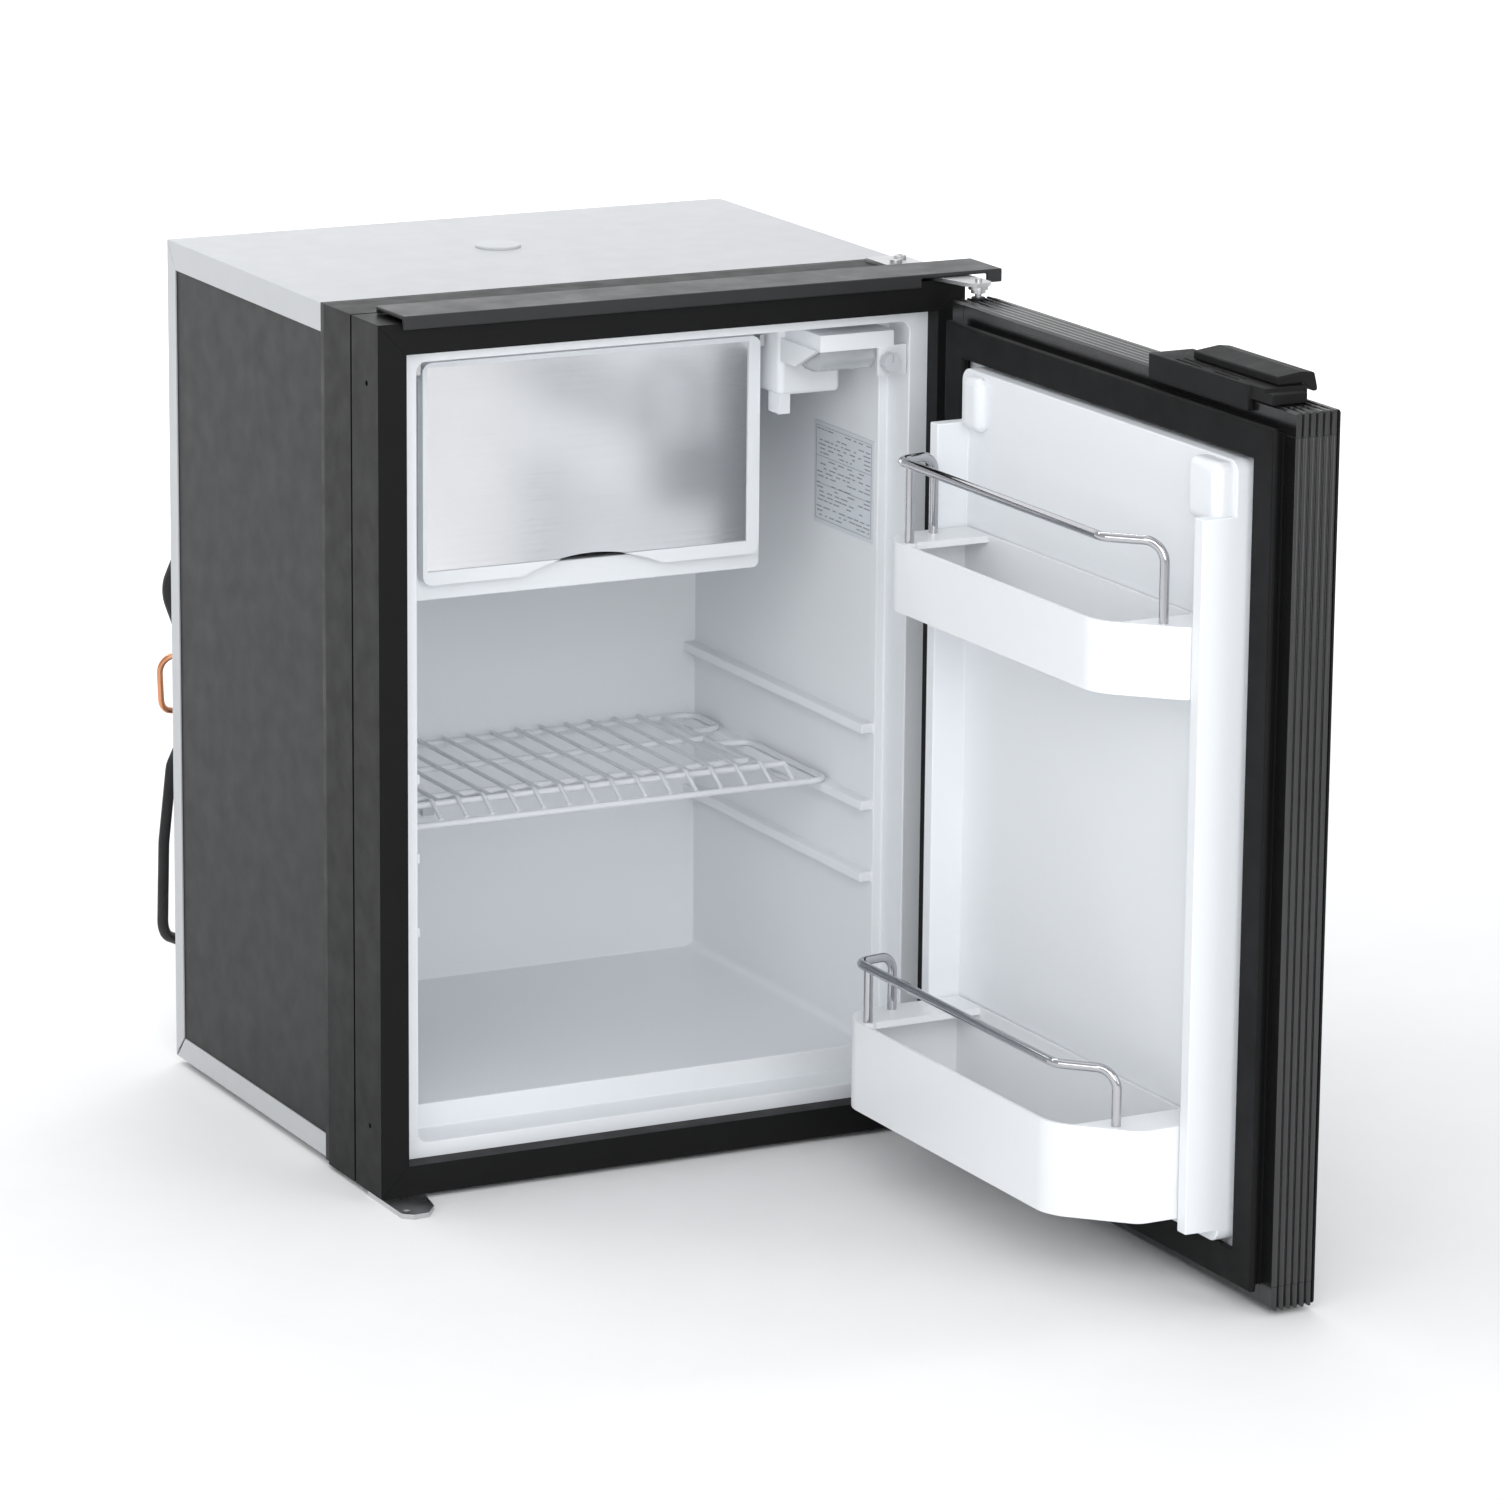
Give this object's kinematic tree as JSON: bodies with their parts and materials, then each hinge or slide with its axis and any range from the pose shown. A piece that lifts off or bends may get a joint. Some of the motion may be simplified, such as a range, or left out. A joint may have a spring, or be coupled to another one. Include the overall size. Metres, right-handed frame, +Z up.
{
  "type": "compact refrigerator",
  "caption": "Compact single-door refrigerator with inner freezer box, wire shelf, door bins with chrome rails and a rear cooling unit.",
  "frame": {"origin": "centre of the bounding box's base, on the floor, with the door standing open as built", "axes": "+X to the right seen from the front, +Y to the back of the cabinet, +Z up; the door side faces -Y"},
  "size_m": [0.402, 0.8422, 0.5301],
  "materials": {
    "top_panel": "satin light grey",
    "back_panel": "satin light grey",
    "bottom_panel": "satin light grey",
    "left_side_panel": "satin dark grey",
    "right_side_panel": "satin dark grey",
    "insulation_foam": "closed-cell foam",
    "door_foam": "closed-cell foam",
    "inner_liner": "white, soft gloss",
    "door_liner": "white, soft gloss",
    "frame_left_stile": "satin black",
    "frame_right_stile": "satin black",
    "frame_top_rail": "satin black",
    "frame_bottom_rail": "satin black",
    "top_cap": "satin black",
    "filler_plug": "light grey",
    "upper_hinge_plate": "zinc plated",
    "hinge_screws": "zinc plated",
    "hinge_pins": "zinc plated",
    "bracket_screws": "zinc plated",
    "hinge_bracket_left": "black coat",
    "hinge_bracket_right": "black coat",
    "evaporator_box": "satin",
    "freezer_bezel": "white",
    "flap_frame": "white",
    "flap_panel": "brushed",
    "flap_pins": "plain",
    "thermostat_housing": "white",
    "sensor_clip": "white",
    "lamp_lens": "frosted",
    "lamp_bulb": "clear",
    "thermostat_knob": "pale grey",
    "rating_label": "printed film",
    "wire_shelf": "white coat",
    "door_front_panel": "satin black",
    "door_gasket": "matt black",
    "door_latch_edge": "ribbed charcoal",
    "door_hinge_edge": "ribbed charcoal",
    "door_top_edge": "ribbed charcoal",
    "door_bottom_edge": "ribbed charcoal",
    "door_corner_caps": "ribbed charcoal",
    "door_bushes": "nylon",
    "latch_base": "satin charcoal",
    "latch_lever": "satin charcoal",
    "upper_bin": "white",
    "lower_bin": "white",
    "upper_rail": "bright",
    "lower_rail": "bright",
    "unit_tray": "black coat",
    "rear_pads": "matt black",
    "compressor_grommets": "matt black",
    "compressor": "gloss black",
    "control_box": "black",
    "fan_shroud": "black",
    "fan_rotor": "black",
    "condenser": "black coat",
    "filter_drier": "bare copper",
    "suction_line": "bare copper",
    "copper_line": "bare copper",
    "wiring_loop": "black sleeve",
    "sleeve_bundle": "black sleeve"
  },
  "bodies": {
    "cabinet": {"top_panel": "top_panel", "back_panel": "back_panel", "bottom_panel": "bottom_panel", "left_side_panel": "left_side_panel", "right_side_panel": "right_side_panel", "insulation_foam": "insulation_foam", "inner_liner": "inner_liner", "frame_left_stile": "frame_left_stile", "frame_right_stile": "frame_right_stile", "frame_top_rail": "frame_top_rail", "frame_bottom_rail": "frame_bottom_rail", "top_cap": "top_cap", "filler_plug": "filler_plug", "upper_hinge_plate": "upper_hinge_plate", "hinge_screws": "hinge_screws", "hinge_pins": "hinge_pins", "bracket_screws": "bracket_screws", "hinge_bracket_left": "hinge_bracket_left", "hinge_bracket_right": "hinge_bracket_right", "evaporator_box": "evaporator_box", "freezer_bezel": "freezer_bezel", "flap_pins": "flap_pins", "thermostat_housing": "thermostat_housing", "sensor_clip": "sensor_clip", "lamp_lens": "lamp_lens", "lamp_bulb": "lamp_bulb", "rating_label": "rating_label", "unit_tray": "unit_tray", "rear_pads": "rear_pads", "compressor_grommets": "compressor_grommets", "compressor": "compressor", "control_box": "control_box", "fan_shroud": "fan_shroud", "condenser": "condenser", "filter_drier": "filter_drier", "suction_line": "suction_line", "copper_line": "copper_line", "wiring_loop": "wiring_loop", "sleeve_bundle": "sleeve_bundle"},
    "door": {"door_front_panel": "door_front_panel", "door_foam": "door_foam", "door_liner": "door_liner", "door_gasket": "door_gasket", "door_latch_edge": "door_latch_edge", "door_hinge_edge": "door_hinge_edge", "door_top_edge": "door_top_edge", "door_bottom_edge": "door_bottom_edge", "door_corner_caps": "door_corner_caps", "door_bushes": "door_bushes", "latch_base": "latch_base"},
    "flap": {"flap_frame": "flap_frame", "flap_panel": "flap_panel"},
    "shelf": {"wire_shelf": "wire_shelf"},
    "knob": {"thermostat_knob": "thermostat_knob"},
    "fan": {"fan_rotor": "fan_rotor"},
    "latch": {"latch_lever": "latch_lever"},
    "bin_upper": {"upper_bin": "upper_bin", "upper_rail": "upper_rail"},
    "bin_lower": {"lower_bin": "lower_bin", "lower_rail": "lower_rail"}
  },
  "joints": [
    {"name": "door_hinge", "type": "hinge", "parent": "cabinet", "child": "door", "pos_m": [0.174, -0.04591, 0.259], "axis": [0, 0, 1], "range_deg": [-91, 29]},
    {"name": "freezer_flap", "type": "hinge", "parent": "cabinet", "child": "flap", "pos_m": [-0.0285, 0.05979, 0.4795], "axis": [-1, 0, 0], "range_deg": [0, 80]},
    {"name": "shelf_slide", "type": "slide", "parent": "cabinet", "child": "shelf", "axis": [0, -1, 0], "range_m": [0, 0.13]},
    {"name": "thermostat_turn", "type": "hinge", "parent": "cabinet", "child": "knob", "pos_m": [0.135, -0.01091, 0.474], "axis": [0, -1, 0], "range_deg": [0, 270]},
    {"name": "fan_spin", "type": "hinge", "parent": "cabinet", "child": "fan", "pos_m": [-0.051, 0.32909, 0.123], "axis": [0, 1, 0], "continuous": true},
    {"name": "latch_slide", "type": "slide", "parent": "door", "child": "latch", "axis": [0.0175, -0.9998, 0], "range_m": [0, 0.0035]},
    {"name": "upper_bin_lift", "type": "slide", "parent": "door", "child": "bin_upper", "axis": [0, 0, 1], "range_m": [0, 0.02]},
    {"name": "lower_bin_lift", "type": "slide", "parent": "door", "child": "bin_lower", "axis": [0, 0, 1], "range_m": [0, 0.02]}
  ]
}
